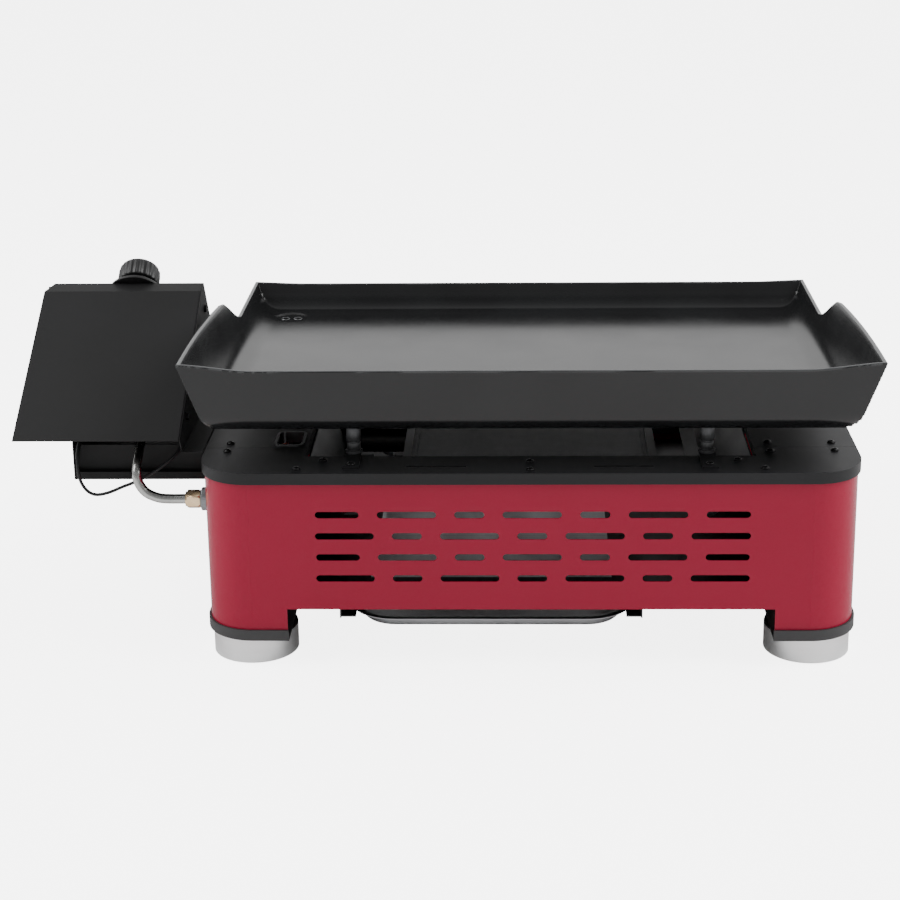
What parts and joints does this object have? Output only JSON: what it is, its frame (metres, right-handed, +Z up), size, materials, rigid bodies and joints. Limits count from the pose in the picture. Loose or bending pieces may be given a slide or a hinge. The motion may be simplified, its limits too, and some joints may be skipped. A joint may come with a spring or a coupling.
{
  "type": "gas griddle",
  "caption": "Table-top gas griddle: a flared steel griddle plate stands on posts over a slotted sheet-metal cabinet on round feet, with a control housing, knob and grease tray.",
  "frame": {"origin": "middle of the footprint box, on the surface that the feet stand on", "axes": "+Z up; +Y towards the cook, who faces the control panel and pulls the tray; +X away from the control housing"},
  "size_m": [0.8574, 0.5154, 0.3549],
  "materials": {
    "red_enamel": "gloss enamel on sheet steel",
    "frame_black": "satin powder coat",
    "corner_cap_plastic": "moulded satin",
    "foot_chrome": "bright anodised, satin",
    "foot_rubber": "moulded",
    "foot_cover_plastic": "moulded",
    "screw_black": "blackened",
    "bolt_steel": "zinc plated",
    "griddle_enamel": "satin heat-proof enamel",
    "post_steel": "knurled",
    "post_cap_rubber": "moulded",
    "burner_steel": "heat-tinted",
    "burner_mesh": "woven wire",
    "firebox_steel": "satin",
    "zinc_steel": "zinc plated",
    "pipe_steel": "drawn stainless",
    "brass": "turned",
    "tray_aluminium": "rolled",
    "port_rim_steel": "pressed",
    "ceramic": "glazed ceramic",
    "lead_sheath": "silicone sleeve",
    "control_black": "fine-textured powder coat",
    "knob_plastic": "moulded"
  },
  "bodies": {
    "cabinet": {"rear_panel": "red_enamel", "front_panel": "red_enamel", "top_rail_rear": "frame_black", "top_rail_front": "frame_black", "top_plate_left": "frame_black", "top_plate_right": "frame_black", "splice_plates": "frame_black", "frame_screws": "screw_black", "lighting_port_rim": "port_rim_steel", "leg_cap_rear_left": "corner_cap_plastic", "leg_cap_rear_right": "corner_cap_plastic", "leg_cap_front_left": "corner_cap_plastic", "leg_cap_front_right": "corner_cap_plastic", "foot_rear_left": "foot_chrome", "foot_rear_right": "foot_chrome", "foot_front_left": "foot_chrome", "foot_front_right": "foot_chrome", "foot_covers": "foot_cover_plastic", "foot_pads": "foot_rubber", "foot_bolts": "bolt_steel", "support_posts": "post_steel", "support_brackets": "frame_black", "post_tips": "post_cap_rubber", "burner_housing": "burner_steel", "burner_screen": "burner_mesh", "burner_frame": "burner_steel", "mixing_tube": "burner_steel", "gas_jet": "brass", "inner_gas_pipe": "pipe_steel", "burner_support_rear": "firebox_steel", "burner_support_front": "firebox_steel", "deflector_left": "firebox_steel", "deflector_right": "firebox_steel", "drain_chute": "zinc_steel", "bottom_shield": "firebox_steel", "tray_rail_left": "firebox_steel", "tray_rail_right": "firebox_steel", "ignition_electrode": "ceramic", "electrode_bracket": "burner_steel", "inner_lead": "lead_sheath", "control_cover": "control_black", "control_side_plate": "control_black", "control_base": "control_black", "control_spacers": "bolt_steel", "control_screws": "screw_black", "gas_valve": "zinc_steel", "igniter_unit": "knob_plastic", "inlet_fitting": "brass", "knob_bezel": "knob_plastic", "gas_pipe": "pipe_steel", "pipe_nut": "brass", "bulkhead_fitting": "zinc_steel", "lead_grommets": "foot_rubber", "ignition_lead": "lead_sheath"},
    "griddle": {"griddle_plate": "griddle_enamel"},
    "tray": {"grease_tray": "tray_aluminium", "tray_pull": "tray_aluminium"},
    "push_sleeve": {"spring_cap": "bolt_steel"},
    "knob": {"valve_stem": "bolt_steel", "control_knob": "knob_plastic"}
  },
  "joints": [
    {"name": "griddle_lift", "type": "slide", "parent": "cabinet", "child": "griddle", "axis": [0, 0, 1], "range_m": [0, 0.16]},
    {"name": "tray_slide", "type": "slide", "parent": "cabinet", "child": "tray", "axis": [0, 1, 0], "range_m": [0, 0.3]},
    {"name": "knob_push", "type": "slide", "parent": "cabinet", "child": "push_sleeve", "axis": [0, -0.8192, -0.5736], "range_m": [0, 0.004], "stiffness_N_per_m": 900, "springref_m": -0.004},
    {"name": "knob_turn", "type": "hinge", "parent": "push_sleeve", "child": "knob", "pos_m": [-0.3359, 0.00917, 0.31712], "axis": [0, 0.8192, 0.5736], "range_deg": [0, 190]}
  ]
}
